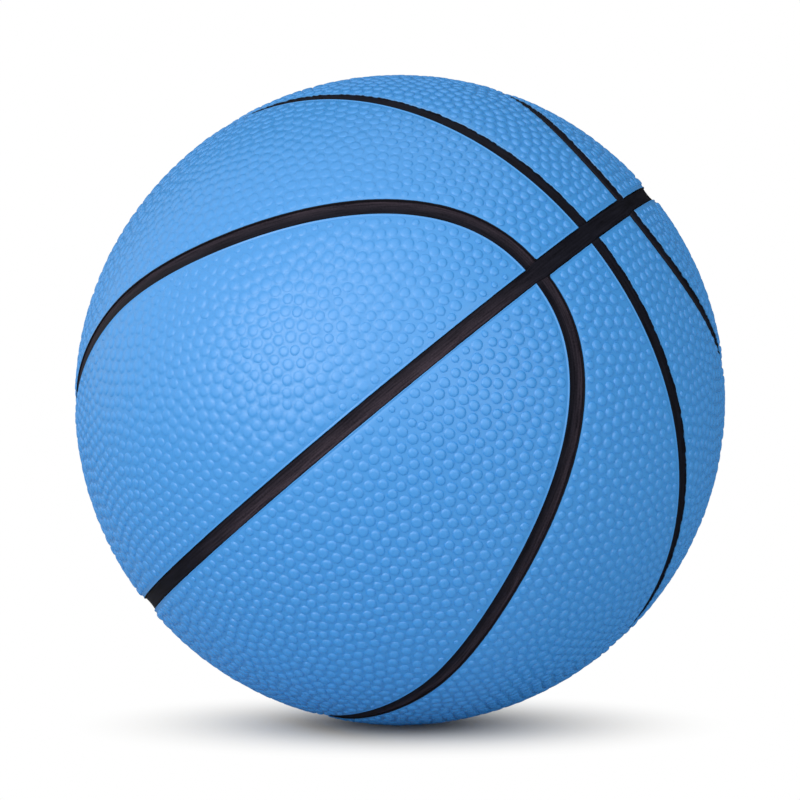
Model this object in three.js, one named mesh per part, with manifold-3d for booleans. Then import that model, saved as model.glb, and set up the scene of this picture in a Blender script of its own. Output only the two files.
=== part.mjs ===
// Small rubber basketball: eight cover panels and the seam strips between them lie on a
// two-part carcass, which covers a thread winding, an air bladder and a needle valve.
import * as THREE from 'three';
import { mergeVertices } from 'three/addons/utils/BufferGeometryUtils.js';
import Module from 'manifold-3d';

// Driving dimensions, in millimetres unless a line says otherwise
const ballDiameter = 130;
const coverThickness = 1.3;
const carcassThickness = 0.6;
const windingThickness = 0.4;
const bladderThickness = 0.6;
const layerGap = 0.3; // bond line between two layers

const seamWidth = 3; // channel between two panels
const crossingWidth = 3.7; // equator channel between the two loops
const stripThickness = 0.6; // thinner than the cover, so the seam is a channel
const stripGap = 0.3; // on each side of a strip

const loopNear = 17.3; // arc from the meridian seam to a loop, at the equator
const loopFar = 48.8; // the same at the middle of the side
const loopPower = 2.28; // how square the loop is
const loopSoftness = 0.48; // how soon the loop bends away from the equator

const valveFromEquator = 24.9; // arc round the side from the back crossing
const valveRecess = 0.5; // valve face below the panel face
const plugDiameter = 3.2;
const plugHeadRim = 0.6; // head beyond the shank, on the radius
const plugHeadThickness = 1;
const plugClearance = 0.15; // round the plug and under its head
const needleDiameter = 1.2;
const needleDepth = 6;
const needleLeadIn = 0.5; // widening of the needle hole at the face, on the radius
const needleFloor = 4.5; // solid rubber beyond the needle hole
const stemWall = 1.75;
const stemTail = 2.5; // stem beyond the plug
const neckWall = 1.65;
const flangeReach = 6; // flange beyond the neck, on the radius
const flangeThickness = 1;
const endChamfer = 0.5;

const restRoll = -7.98; // degrees: the ball turns about X, then its own Y, then its own Z
const restPitch = -39.41;
const restYaw = -134.1;

// Facets
const seamSteps = 28; // along each panel and each half of a seam
const sidePanelRows = 6;
const centrePanelRows = 5;
const shellSegments = 24;
const shellRows = 6; // in each half of a shell
const valveSegments = 24;

const ballRadius = ballDiameter / 2;
const coverInner = ballRadius - coverThickness;
const carcassOuter = coverInner - layerGap;
const carcassInner = carcassOuter - carcassThickness;
const windingOuter = carcassInner - layerGap;
const windingInner = windingOuter - windingThickness;
const bladderOuter = windingInner - layerGap;
const bladderInner = bladderOuter - bladderThickness;
const stripOuter = coverInner + stripThickness;
const valveFace = ballRadius - valveRecess;
const plugRadius = plugDiameter / 2;
const plugHeadRadius = plugRadius + plugHeadRim;
const plugEnd = valveFace - needleDepth - needleFloor;
const boreRadius = plugRadius + plugClearance;
const headBoreRadius = plugHeadRadius + plugClearance;
const stemRadius = boreRadius + stemWall;
const neckRadius = headBoreRadius + neckWall;
const flangeRadius = neckRadius + flangeReach;
const valveHole = neckRadius + layerGap;
const halfTurn = Math.PI;
const quarterTurn = Math.PI / 2;
const mergeDistance = 1e-4;

const wasm = await Module();
wasm.setup();

function matte(color, roughness) {
  return new THREE.MeshStandardMaterial({ color, roughness, metalness: 0 });
}
const coverRubber = matte(0x4b97df, 0.55);
const seamRubber = matte(0x1f1f24, 0.5);
const carcassRubber = matte(0x2b2a29, 0.8);
const nylonThread = matte(0xd9d2bf, 0.85);
const butylRubber = matte(0x191919, 0.6);
const valveRubber = matte(0x232323, 0.5);
const plugRubber = matte(0x35322f, 0.5);

function asAngle(arc) {
  return arc / ballRadius;
}

const halfSeam = asAngle(seamWidth / 2);
const halfCrossing = asAngle(crossingWidth / 2);
const halfStrip = asAngle(seamWidth / 2 - stripGap);
const halfCrossingStrip = asAngle(crossingWidth / 2 - stripGap);

// Evenly spaced values from one end to the other
function evenly(from, to, steps) {
  return Array.from({ length: steps + 1 }, (_, step) => from + (to - from) * step / steps);
}

// Unit vector in the upper left quarter: spread is the angle off the meridian seam,
// turn runs from the front crossing over the top to the back crossing
function direction(spread, turn) {
  const reach = Math.cos(spread);
  return new THREE.Vector3(Math.sin(spread), reach * Math.cos(turn), reach * Math.sin(turn));
}

// Unit vector near the equator: swing runs from the front crossing round the left side
function equatorDirection(height, swing) {
  const reach = Math.cos(height);
  return new THREE.Vector3(reach * Math.sin(swing), reach * Math.cos(swing), Math.sin(height));
}

function loopSpread(turn) {
  const rise = Math.abs(Math.sin(turn)) ** loopPower;
  const run = loopSoftness * Math.abs(Math.cos(turn)) ** loopPower;
  return asAngle(loopNear + (loopFar - loopNear) * rise / (rise + run));
}

// A line beside the loop seam; a positive offset lies toward the middle of the side
function loopLine(offset) {
  const probe = 1e-3;
  return (turn) => {
    const here = direction(loopSpread(turn), turn);
    const ahead = direction(loopSpread(turn + probe), turn + probe);
    const across = here.clone().cross(ahead).normalize();
    return here.multiplyScalar(Math.cos(offset)).addScaledVector(across, Math.sin(offset));
  };
}

// A line beside the meridian seam; a positive offset lies on the left
function meridianLine(offset) {
  return (turn) => direction(offset, turn);
}

// The turn at which a line rises past a height above the equator
function turnAtHeight(line, height) {
  const halvings = 40;
  let low = 0;
  let high = quarterTurn;
  for (let halving = 0; halving < halvings; halving += 1) {
    const middle = (low + high) / 2;
    if (line(middle).z < Math.sin(height)) low = middle;
    else high = middle;
  }
  return high;
}

// Points along a line over the top, between its two ends at a height above the equator
function overTop(line, height, steps) {
  const start = turnAtHeight(line, height);
  return evenly(start, halfTurn - start, steps).map(line);
}

// The corner of a panel and the pole of a shell are single points, so triangles that shrink
// to a line there are dropped
function merged(geometry) {
  const whole = mergeVertices(geometry, mergeDistance);
  const corners = Array.from(whole.index.array);
  const kept = [];
  for (let k = 0; k < corners.length; k += 3) {
    const [a, b, c] = corners.slice(k, k + 3);
    if (a !== b && b !== c && c !== a) kept.push(a, b, c);
  }
  whole.setIndex(kept);
  return whole;
}

function asGeometry(positions, triangles) {
  const geometry = new THREE.BufferGeometry();
  geometry.setAttribute('position', new THREE.Float32BufferAttribute(positions, 3));
  geometry.setIndex(Array.from(triangles));
  return geometry;
}

// Closed curved slab between two rows of unit vectors, from an inner to an outer radius. The
// inner corners are lifted by what a facet sags between them, so none lies below the radius
function curvedSlab(edgeA, edgeB, rows, inner, outer, ring = false) {
  const columns = edgeA.length;
  const across = rows + 1;
  const onPatch = (i, j) => edgeA[i].clone().lerp(edgeB[i], j / rows).normalize();
  let widest = 0;
  for (let i = 1; i < columns; i += 1) {
    for (let j = 1; j < across; j += 1) {
      widest = Math.max(widest, onPatch(i, j).angleTo(onPatch(i - 1, j - 1)));
    }
  }
  const liftedInner = inner / Math.cos(widest / 2);
  const positions = [];
  for (const radius of [outer, liftedInner]) {
    for (let i = 0; i < columns; i += 1) {
      for (let j = 0; j < across; j += 1) {
        positions.push(...onPatch(i, j).multiplyScalar(radius).toArray());
      }
    }
  }
  const top = (i, j) => (i % columns) * across + j;
  const under = (i, j) => columns * across + top(i, j);
  const triangles = [];
  const quad = (a, b, c, d) => triangles.push(a, b, c, a, c, d);
  const spans = ring ? columns : columns - 1;
  for (let i = 0; i < spans; i += 1) {
    for (let j = 0; j < rows; j += 1) {
      quad(top(i, j), top(i + 1, j), top(i + 1, j + 1), top(i, j + 1));
      quad(under(i, j), under(i, j + 1), under(i + 1, j + 1), under(i + 1, j));
    }
    quad(top(i, 0), under(i, 0), under(i + 1, 0), top(i + 1, 0));
    quad(top(i, rows), top(i + 1, rows), under(i + 1, rows), under(i, rows));
  }
  for (let j = 0; j < rows && !ring; j += 1) {
    quad(top(0, j), top(0, j + 1), under(0, j + 1), under(0, j));
    quad(top(spans, j), under(spans, j), under(spans, j + 1), top(spans, j + 1));
  }
  return merged(asGeometry(positions, triangles));
}

// Copy of an upper left piece in another quarter of the ball
function mirrored(geometry, side, level) {
  const copy = geometry.clone().scale(side, 1, level);
  if (side * level < 0) copy.setIndex(Array.from(copy.index.array).reverse());
  return copy;
}

// Panel inside a loop seam, down to the equator seam
function sidePanel() {
  const loopEdge = overTop(loopLine(halfSeam), halfSeam, seamSteps);
  const start = Math.atan2(loopEdge[0].x, loopEdge[0].y);
  const swings = evenly(start, halfTurn - start, seamSteps);
  const equatorEdge = swings.map((swing) => equatorDirection(halfSeam, swing));
  return curvedSlab(loopEdge, equatorEdge, sidePanelRows, coverInner, ballRadius);
}

// Panel between the meridian seam and a loop seam
function centrePanel() {
  const meridianEdge = overTop(meridianLine(halfSeam), halfCrossing, seamSteps);
  const loopEdge = overTop(loopLine(-halfSeam), halfCrossing, seamSteps);
  return curvedSlab(meridianEdge, loopEdge, centrePanelRows, coverInner, ballRadius);
}

// Half of a seam's strip, from the equator strip at the front to the one at the back
function halfStripAlong(line) {
  const edgeA = overTop(line(-halfStrip), halfCrossing, seamSteps);
  const edgeB = overTop(line(halfStrip), halfCrossing, seamSteps);
  return curvedSlab(edgeA, edgeB, 1, coverInner, stripOuter);
}

// Full ring, wider between the two loops at the front and at the back
function equatorStrip() {
  const loopAt = asAngle(loopNear);
  const edge = (level) => evenly(0, -2 * halfTurn, 2 * seamSteps).slice(1).map((swing) => {
    const fromCrossing = Math.asin(Math.abs(Math.sin(swing)));
    const share = THREE.MathUtils.smoothstep(fromCrossing, loopAt - halfSeam, loopAt + halfSeam);
    const height = THREE.MathUtils.lerp(halfCrossingStrip, halfStrip, share);
    return equatorDirection(level * height, swing);
  });
  return curvedSlab(edge(-1), edge(1), 1, coverInner, stripOuter, true);
}

// Solid of revolution about +Z from a profile of radius and height pairs
function turned(profile, segments) {
  const points = profile.map(([radius, height]) => new THREE.Vector2(radius, height));
  const geometry = new THREE.LatheGeometry(points, segments).rotateX(quarterTurn);
  geometry.deleteAttribute('normal');
  geometry.deleteAttribute('uv');
  return merged(geometry);
}

// Points of a sphere's profile at angles off the valve axis
function onSphere(radius, angles) {
  return angles.map((angle) => [radius * Math.sin(angle), radius * Math.cos(angle)]);
}

// Rings of a shell from the edge of the valve hole down to an angle off the valve axis
function valveSideRings(radius, lowest) {
  const holeEdge = Math.asin(valveHole / radius);
  const flangeEdge = Math.asin((flangeRadius + layerGap) / radius);
  return [...evenly(holeEdge, flangeEdge, 2), ...evenly(flangeEdge, lowest, shellRows).slice(1)];
}

// Rings of a shell from an angle off the valve axis down to the far pole
function farSideRings(highest) {
  return evenly(highest, halfTurn, shellRows);
}

// Hollow shell open at the valve
function wholeShell(outer, inner) {
  const rings = (radius) => {
    return [...valveSideRings(radius, quarterTurn), ...farSideRings(quarterTurn).slice(1)];
  };
  const outside = onSphere(outer, rings(outer)).reverse();
  const inside = onSphere(inner, rings(inner));
  return turned([...outside, ...inside], shellSegments);
}

const splitHalfGap = layerGap / 2 / carcassOuter;

function carcassValveHalf() {
  const lowest = quarterTurn - splitHalfGap;
  const outside = onSphere(carcassOuter, valveSideRings(carcassOuter, lowest)).reverse();
  const inside = onSphere(carcassInner, valveSideRings(carcassInner, lowest));
  return turned([...outside, ...inside, outside[0]], shellSegments);
}

function carcassFarHalf() {
  const rings = farSideRings(quarterTurn + splitHalfGap);
  const outside = onSphere(carcassOuter, rings).reverse();
  const inside = onSphere(carcassInner, rings);
  return turned([...outside, ...inside], shellSegments);
}

// Stem, flange under the bladder wall, neck through all layers, and a stepped bore for the plug
function valveBody() {
  const stemEnd = plugEnd - stemTail;
  const seat = valveFace - plugHeadThickness - plugClearance;
  const flangeTop = bladderInner - layerGap;
  const flangeUnder = flangeTop - flangeThickness;
  const flangeArc = (sphere, from, to) => {
    return onSphere(sphere, evenly(Math.asin(from / sphere), Math.asin(to / sphere), 2));
  };
  const profile = [
    [boreRadius, stemEnd],
    [stemRadius - endChamfer, stemEnd],
    [stemRadius, stemEnd + endChamfer],
    ...flangeArc(flangeUnder, stemRadius, flangeRadius),
    ...flangeArc(flangeTop, flangeRadius, neckRadius),
    [neckRadius, valveFace],
    [headBoreRadius, valveFace],
    [headBoreRadius, seat],
    [boreRadius, seat],
    [boreRadius, stemEnd],
  ];
  return turned(profile, valveSegments);
}

// Insert with a head in the valve face and a blind hole for the needle
function valvePlug() {
  const underHead = valveFace - plugHeadThickness;
  const needleEnd = valveFace - needleDepth;
  const needleRadius = needleDiameter / 2;
  const profile = [
    [0, plugEnd],
    [plugRadius - endChamfer, plugEnd],
    [plugRadius, plugEnd + endChamfer],
    [plugRadius, underHead],
    [plugHeadRadius, underHead],
    [plugHeadRadius, valveFace],
    [needleRadius + needleLeadIn, valveFace],
    [needleRadius, valveFace - 2 * needleLeadIn],
    [needleRadius, needleEnd],
    [0, needleEnd],
  ];
  return turned(profile, valveSegments);
}

function asSolid(geometry) {
  const vertProperties = new Float32Array(geometry.attributes.position.array);
  const triVerts = new Uint32Array(geometry.index.array);
  return new wasm.Manifold(new wasm.Mesh({ numProp: 3, vertProperties, triVerts }));
}

// Panel with a round hole for the valve neck
function withValveHole(panel, turnToValve) {
  const length = 4 * coverThickness;
  const drill = new THREE.CylinderGeometry(valveHole, valveHole, length, valveSegments);
  drill.deleteAttribute('normal');
  drill.deleteAttribute('uv');
  drill.rotateX(quarterTurn).translate(0, 0, ballRadius).applyQuaternion(turnToValve);
  const cut = asSolid(panel).subtract(asSolid(merged(drill))).getMesh();
  return asGeometry(cut.vertProperties, cut.triVerts);
}

const ball = new THREE.Group();
ball.rotation.set(...[restRoll, restPitch, restYaw].map(THREE.MathUtils.degToRad), 'XYZ');

// The valve is at the back of the ball, midway between the meridian seam and the right loop
const valveTurn = halfTurn - asAngle(valveFromEquator);
const valveDirection = direction(-loopSpread(valveTurn) / 2, valveTurn);
const core = new THREE.Group();
core.quaternion.setFromUnitVectors(new THREE.Vector3(0, 0, 1), valveDirection);
ball.add(core);

function addPiece(group, name, geometry, material) {
  const mesh = new THREE.Mesh(geometry, material);
  mesh.name = name;
  group.add(mesh);
}

const sides = { left: 1, right: -1 };
const levels = { upper: 1, lower: -1 };
const sidePanelShape = sidePanel();
const centrePanelShape = centrePanel();
const loopStripShape = halfStripAlong(loopLine);
const meridianStripShape = halfStripAlong(meridianLine);

for (const [levelName, level] of Object.entries(levels)) {
  for (const [sideName, side] of Object.entries(sides)) {
    const place = `${sideName}_${levelName}`;
    const hasValve = side < 0 && level > 0;
    const plain = mirrored(centrePanelShape, side, level);
    const centre = hasValve ? withValveHole(plain, core.quaternion) : plain;
    addPiece(ball, `${place}_side_panel`, mirrored(sidePanelShape, side, level), coverRubber);
    addPiece(ball, `${place}_centre_panel`, centre, coverRubber);
    addPiece(ball, `${place}_loop_seam_strip`, mirrored(loopStripShape, side, level), seamRubber);
  }
  addPiece(ball, `${levelName}_meridian_seam_strip`, mirrored(meridianStripShape, 1, level), seamRubber);
}
addPiece(ball, 'equator_seam_strip', equatorStrip(), seamRubber);

addPiece(core, 'carcass_valve_half', carcassValveHalf(), carcassRubber);
addPiece(core, 'carcass_far_half', carcassFarHalf(), carcassRubber);
addPiece(core, 'thread_winding', wholeShell(windingOuter, windingInner), nylonThread);
addPiece(core, 'air_bladder', wholeShell(bladderOuter, bladderInner), butylRubber);
addPiece(core, 'valve_body', valveBody(), valveRubber);
addPiece(core, 'valve_plug', valvePlug(), plugRubber);

export default ball;
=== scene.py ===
import bpy
import numpy as np
from math import cos, pi, radians, sin, sqrt
from mathutils import Matrix, Vector, kdtree
from mathutils.geometry import delaunay_2d_cdt


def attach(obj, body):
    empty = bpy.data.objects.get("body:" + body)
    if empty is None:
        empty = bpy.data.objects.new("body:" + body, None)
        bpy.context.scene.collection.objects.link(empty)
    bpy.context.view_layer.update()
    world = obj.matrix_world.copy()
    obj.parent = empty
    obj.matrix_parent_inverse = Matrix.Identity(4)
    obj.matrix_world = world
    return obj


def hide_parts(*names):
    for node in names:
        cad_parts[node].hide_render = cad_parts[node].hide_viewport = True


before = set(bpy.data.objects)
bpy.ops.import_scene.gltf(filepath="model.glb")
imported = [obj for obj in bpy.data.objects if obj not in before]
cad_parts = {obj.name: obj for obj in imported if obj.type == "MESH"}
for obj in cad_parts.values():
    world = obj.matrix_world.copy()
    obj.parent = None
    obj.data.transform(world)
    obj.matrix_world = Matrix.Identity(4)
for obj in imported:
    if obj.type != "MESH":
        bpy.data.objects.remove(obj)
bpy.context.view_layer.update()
bpy.ops.object.select_all(action="DESELECT")  # the load leaves every CAD node selected
print("frame loaded:", len(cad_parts), "CAD nodes")

mm = 0.001
ball = {
    "radius": 65.0,  # mm, over the cover
    "land": 64.78,  # ground between the pebbles
    "coverBack": 63.7,  # inner face of the cover
    "rest": (-7.98, -39.41, -134.1),  # degrees about X, then its own Y, then its own Z
}
restTurn = Matrix.Identity(3)
for angle, axis in zip(ball["rest"], "XYZ"):
    restTurn = restTurn @ Matrix.Rotation(radians(angle), 3, axis)

# half turns of the seam layout that carry the left upper quarter to each quarter
quarters = {
    "left_upper": (1, 1, 1),
    "left_lower": (1, -1, -1),
    "right_upper": (-1, -1, 1),
    "right_lower": (-1, 1, -1),
}


def unit(vectors):
    return vectors / np.linalg.norm(vectors, axis=-1, keepdims=True)


def ease(share):
    return share * share * (3 - 2 * share)


def keepPiece(piece, node, body="ball"):
    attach(piece, body)
    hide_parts(node)


def addPiece(name, node, points, faces, marks):
    mesh = bpy.data.meshes.new(name)
    mesh.from_pydata((points @ np.array(restTurn).T * mm).tolist(), [], faces)
    mesh.shade_smooth()
    for label, values in marks.items():  # painted values that the material reads
        layer = mesh.attributes.new(label, "FLOAT", "POINT")
        layer.data.foreach_set("value", np.asarray(values, dtype=np.float32))
    piece = bpy.data.objects.new(name, mesh)
    bpy.context.collection.objects.link(piece)
    keepPiece(piece, node)
    return piece


# The seam lines: X is the left side, Y the front crossing, Z the top
seams = {
    "width": 3.0,  # mm
    "crossing": 3.7,  # equator channel between the two loops
    "loopNear": 17.3,  # arc from the meridian to a loop, at the equator
    "loopFar": 48.8,  # the same at the middle of the side
    "loopPower": 2.28,
    "loopSoftness": 0.48,
    "loopSteps": 310,  # about half a millimetre each
    "meridianSteps": 366,
    "equatorSteps": 306,
    "endSteps": 27,
}


def direction(spread, turn):
    reach = np.cos(spread)
    return np.stack([np.sin(spread), reach * np.cos(turn), reach * np.sin(turn)], -1)


def loopSpread(turn):
    rise = np.abs(np.sin(turn)) ** seams["loopPower"]
    run = seams["loopSoftness"] * np.abs(np.cos(turn)) ** seams["loopPower"]
    far = seams["loopFar"] - seams["loopNear"]
    return (seams["loopNear"] + far * rise / (rise + run)) / ball["radius"]


def loopLine(offset, turn):
    here = direction(loopSpread(turn), turn)
    ahead = direction(loopSpread(turn + 1e-3), turn + 1e-3)  # close by, for the line's direction
    return here * cos(offset) + unit(np.cross(here, ahead)) * sin(offset)


def meridianLine(offset, turn):
    return direction(offset + 0 * turn, turn)


# from a height above the equator at the front, over the top, to the same at the back
def overTop(line, offset, height, steps):
    low, high = 0.0, pi / 2
    for _ in range(40):  # halves the range until the height fits
        middle = (low + high) / 2
        if line(offset, np.array([middle]))[0, 2] < sin(height):
            low = middle
        else:
            high = middle
    return line(offset, np.linspace(high, pi - high, steps + 1))


def aboveEquator(height, swing):
    reach = np.cos(height)
    return np.stack([reach * np.sin(swing), reach * np.cos(swing), np.sin(height)], -1)


# along the equator between two corners, without them
def besideEquator(height, start, stop, steps):
    swing = np.linspace(np.arctan2(*start[:2]), np.arctan2(*stop[:2]), steps + 1)[1:-1]
    return aboveEquator(height + 0 * swing, swing)


# closed outline of a panel, set in by some millimetres from the channel
def sideOutline(inset):
    gap = (seams["width"] / 2 + inset) / ball["radius"]
    loop = overTop(loopLine, gap, gap, seams["loopSteps"])
    return np.concatenate([loop, besideEquator(gap, loop[-1], loop[0], seams["equatorSteps"])])


def centreOutline(inset):
    gap = (seams["width"] / 2 + inset) / ball["radius"]
    end = (seams["crossing"] / 2 + inset) / ball["radius"]
    meridian = overTop(meridianLine, gap, end, seams["meridianSteps"])
    loop = overTop(loopLine, -gap, end, seams["loopSteps"])[::-1]
    return np.concatenate([
        meridian, besideEquator(end, meridian[-1], loop[0], seams["endSteps"]),
        loop, besideEquator(end, loop[-1], meridian[0], seams["endSteps"])])


print("seam lines ready")

# The cover panels. Pebbles and rolled edges follow the sphere and the seam curves, which the
# edit mode operators can't do, so these meshes are written out
panel = {
    # mm in from the channel, mm above the land
    "edge": [(0.0, -0.40), (0.03, -0.20), (0.07, -0.05), (0.12, 0.015), (0.19, 0.03), (0.27, 0.0),
             (0.37, -0.065), (0.50, -0.09), (0.65, -0.06), (0.80, -0.015)],
    "paint": {"loop": 0.36, "equator": 0.04},  # mm of black over the edge, at a loop on its outer side only
    "unpainted": 3.0,  # mm, well past the black
    "firstRow": 1.95,  # mm from the channel to the pebbles' centres
    "padGap": 1.5,  # the same from the pad round the valve
    "pitch": 2.62,
    "pebbleWidth": 2.36,  # at the foot
    "pebbleHeight": 0.34,
    "widthSpread": 0.05,  # how much the pebbles differ
    "heightSpread": 0.06,
    "lobes": (0.03, 0.02),  # how far from round, in two lobes and in three
    "profile": [(1.0, 0.0), (0.92, 0.30), (0.78, 0.70), (0.50, 0.93)],  # share of radius and height
    "crease": 30,  # degrees
    "sides": 12,
    "jumble": 0.5,  # of the pitch, before the pebbles settle
    "settle": 110,  # rounds in which they push each other apart
    "lookRound": 5,  # rounds between two looks at who is near
    "neighbours": 13,
    "pushReach": 1.3,  # of the pitch
    "pushStep": 0.35,
    "edgeHold": 0.93,  # of the pitch, from the first row to the fixed points at the edge
    "stray": 0.018,  # of the pitch, after they settle
    "slack": 0.6,  # mm that they may stand outside the first row
    "closest": 0.47,  # most of a gap that a pebble takes, to the next pebble and to the edge
    "closestToEdge": 0.92,
    "seed": 5,
    # pebbles are rubbed lower where the ball is held and bounced most
    "wearMiddle": (-0.49, -0.74, 0.46),
    "wearDepth": 0.56,  # of their height
    "wearFull": 26,  # degrees round that place
    "wearNone": 57,
}
valve = {
    "turn": pi - 24.9 / ball["radius"],  # round from the front crossing
    # mm from the valve axis, mm above the land
    "pad": [(7.4, 0.0), (7.1, 0.02), (6.8, 0.10), (6.4, 0.16), (5.6, 0.18), (4.8, 0.17), (4.4, 0.12),
            (4.2, 0.02), (4.12, -0.12)],
    "padSides": 60,
}
valveAxis = direction(-loopSpread(valve["turn"]) / 2, valve["turn"])


def tangents(points):
    along = unit(np.cross(points, np.array([0.31, 0.57, 0.76])))  # any direction that is off the middles
    return along, np.cross(points, along)


def around(middles, radii, sides, start):
    along, across = tangents(middles)
    turn = start[:, None] + np.arange(sides) * 2 * pi / sides
    ring = np.cos(turn)[..., None] * along[:, None] + np.sin(turn)[..., None] * across[:, None]
    return unit(middles[:, None] + radii[..., None] / ball["radius"] * ring)


# flat map of a panel seen from the far side of the ball, which keeps circles round
def flat(points, middle):
    along, across = tangents(middle)
    return 2 * np.stack([points @ along, points @ across], -1) / (1 + points @ middle)[:, None]


def isInside(points, border):
    x, y = points[:, :1], points[:, 1:]
    a, b = border, np.roll(border, -1, 0)
    crosses = (a[:, 1] > y) != (b[:, 1] > y)
    reach = a[:, 0] + (y - a[:, 1]) * (b[:, 0] - a[:, 0]) / (b[:, 1] - a[:, 1] + 1e-15)
    return (crosses & (x < reach)).sum(1) % 2 == 1


def scatterPebbles(outline, middle, clear):
    rng = np.random.default_rng(panel["seed"])
    pitch, spacing = panel["pitch"], panel["pitch"] / ball["radius"]
    count = int(4 * pi / (0.866 * spacing ** 2))  # as many as pack closely on a whole ball
    rank = np.arange(count) + 0.5
    height, turn = 1 - 2 * rank / count, rank * pi * (3 - sqrt(5))
    reach = np.sqrt(1 - height ** 2)
    spots = np.stack([reach * np.cos(turn), reach * np.sin(turn), height], -1)
    spots = unit(spots + rng.normal(0, panel["jumble"] * spacing, spots.shape))

    def keepIn(spots, slack):
        inside = isInside(flat(spots, middle), flat(outline(panel["firstRow"] - slack), middle))
        for centre, radius in clear:
            inside &= spots @ centre < cos((radius + panel["padGap"] - slack) / ball["radius"])
        return spots[inside]

    # fixed points along the smooth edge and round the valve pad hold the pebbles off them
    edge = outline(panel["firstRow"] - panel["edgeHold"] * pitch)
    walk = np.cumsum(np.r_[0, np.linalg.norm(np.diff(edge, axis=0), axis=1)])
    held = [edge[np.searchsorted(walk, np.arange(0, walk[-1], spacing))]]
    for centre, radius in clear:
        ring = radius + panel["padGap"] - pitch
        held.append(around(centre[None], np.full((1, 1), ring), int(2 * pi * ring / pitch), np.zeros(1))[0])
    held = np.concatenate(held)
    spots = keepIn(spots, pitch / 2)
    for k in range(panel["settle"]):
        every = np.concatenate([spots, held])
        if k % panel["lookRound"] == 0:
            near = np.argpartition(-(spots @ every.T), panel["neighbours"], axis=1)[:, :panel["neighbours"]]
        apart = spots[:, None] - every[near]
        far = np.linalg.norm(apart, axis=-1) + 1e-9
        push = np.maximum(0, 1 - far / (panel["pushReach"] * spacing))
        spots = unit(spots + panel["pushStep"] * spacing * (apart / far[..., None] * push[..., None]).sum(1))
    spots = keepIn(unit(spots + rng.normal(0, panel["stray"] * spacing, spots.shape)), panel["slack"])

    # no pebble reaches its neighbour, the edge or the pad
    gaps = np.linalg.norm(spots[:, None] - spots[None], axis=-1)
    gaps += np.eye(len(spots)) * 9  # a pebble isn't its own neighbour
    land = outline(panel["edge"][-1][0])
    steps = np.linspace(0, 1, 6, endpoint=False)[:, None, None]  # six for each step of the outline
    land = unit(land * (1 - steps) + np.roll(land, -1, 0) * steps).reshape(-1, 3)
    toEdge = np.arccos(np.minimum(np.max(spots @ land.T, 1), 1))
    room = np.minimum(panel["closest"] * gaps.min(1), panel["closestToEdge"] * toEdge) * ball["radius"]
    for centre, radius in clear:
        toPad = np.arccos(spots @ centre) * ball["radius"] - radius
        room = np.minimum(room, panel["closestToEdge"] * toPad)
    radii = panel["pebbleWidth"] / 2 * rng.normal(1, panel["widthSpread"], len(spots))
    return spots, np.minimum(radii, room), rng


# triangles between outlines and loose points, as indices into them
def fillFace(outlines, loose, edges, middle):
    points = np.concatenate(outlines + [loose])
    spans = np.cumsum([0] + [len(ring) for ring in outlines])
    rings = [list(range(a, b)) for a, b in zip(spans, spans[1:])]
    spread = [Vector(point) for point in flat(points, middle).tolist()]
    made = delaunay_2d_cdt(spread, (edges + spans[-1]).tolist(), rings[:1], 1, 1e-7)
    source = [origin[0] for origin in made[3]]
    triangles = np.array([[source[corner] for corner in face] for face in made[2]])
    for ring in rings[1:]:  # holes
        triangles = triangles[~np.all((triangles >= ring[0]) & (triangles <= ring[-1]), 1)]
    return triangles


def faceOut(points, faces, inward=False):
    a, b, c = (points[faces[:, k]] for k in range(3))
    wrong = (np.cross(b - a, c - a) * (a + b + c)).sum(1) < 0
    if inward:
        wrong = ~wrong
    faces = faces.copy()
    faces[wrong] = faces[wrong][:, ::-1]
    return faces


# quads between rings of points that follow each other, all turned as the last band needs
def bridge(points, first, rows, columns):
    index = first + np.arange(rows * columns).reshape(rows, columns)
    ahead = np.roll(index, -1, 1)
    quads = np.stack([index[:-1], ahead[:-1], ahead[1:], index[1:]], -1).reshape(-1, 4)
    a, b, c = (points[quads[-1, k]] for k in range(3))
    return quads if np.dot(np.cross(b - a, c - a), a) > 0 else quads[:, ::-1]


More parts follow.
